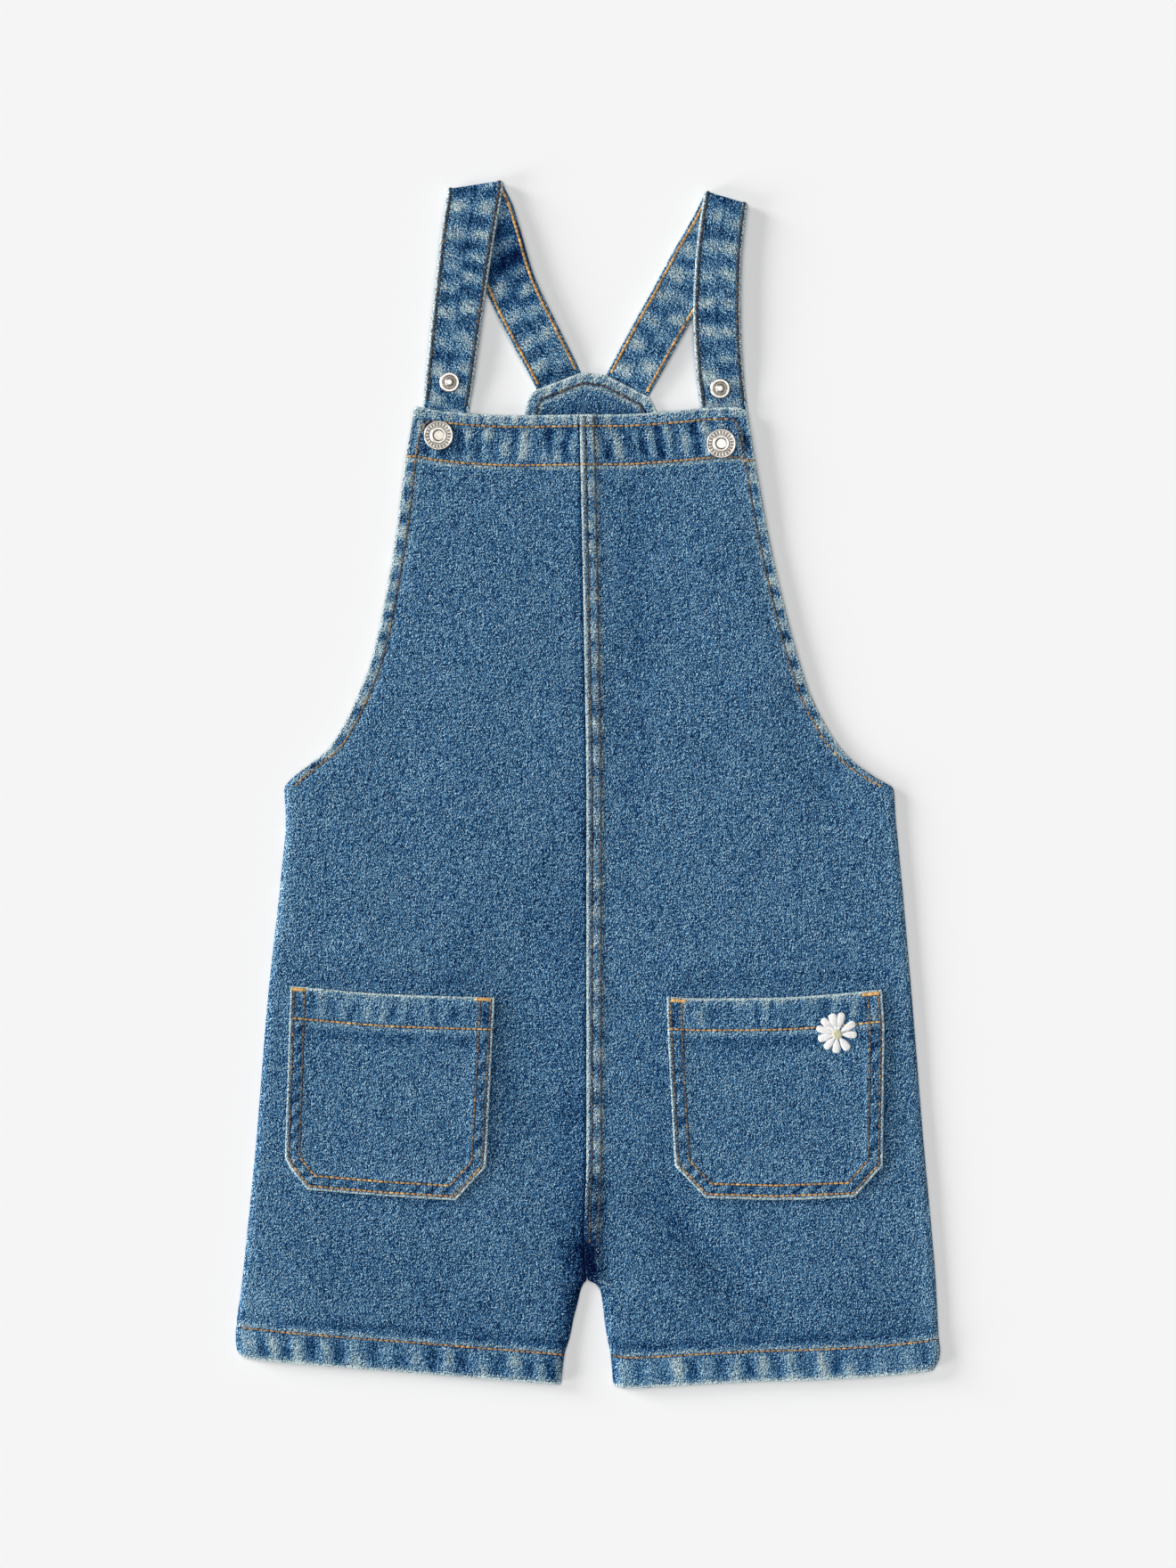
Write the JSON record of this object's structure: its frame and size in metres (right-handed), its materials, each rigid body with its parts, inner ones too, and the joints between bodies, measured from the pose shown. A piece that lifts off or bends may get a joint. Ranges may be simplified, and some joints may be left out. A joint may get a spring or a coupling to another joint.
{
  "type": "child's short denim overalls, laid flat",
  "caption": "Short denim overalls for a child, laid flat: bib with centre seam, folded straps with snaps, patch pockets with cut corners and an embroidered flower.",
  "frame": {"origin": "on the floor, under the middle of the laid garment's box", "axes": "+Y from the hems to the strap folds, +Z from the back up to the front, +X to the right of someone who looks down at the front"},
  "size_m": [0.3552, 0.6085, 0.0076],
  "materials": {
    "denim": "matt",
    "denim_strap": "matt",
    "denim_inside": "matt",
    "metal": "satin",
    "embroidery": "satin"
  },
  "bodies": {
    "root": {"front_left": "denim", "front_right": "denim", "back_left": "denim", "back_right": "denim", "back_facing": "denim_inside", "pocket_left": "denim", "pocket_right": "denim", "strap_left": "denim_strap", "strap_right": "denim_strap", "snap_cap_left": "metal", "snap_cap_right": "metal", "strap_stud_left": "metal", "strap_stud_right": "metal", "daisy": "embroidery"}
  },
  "joints": []
}
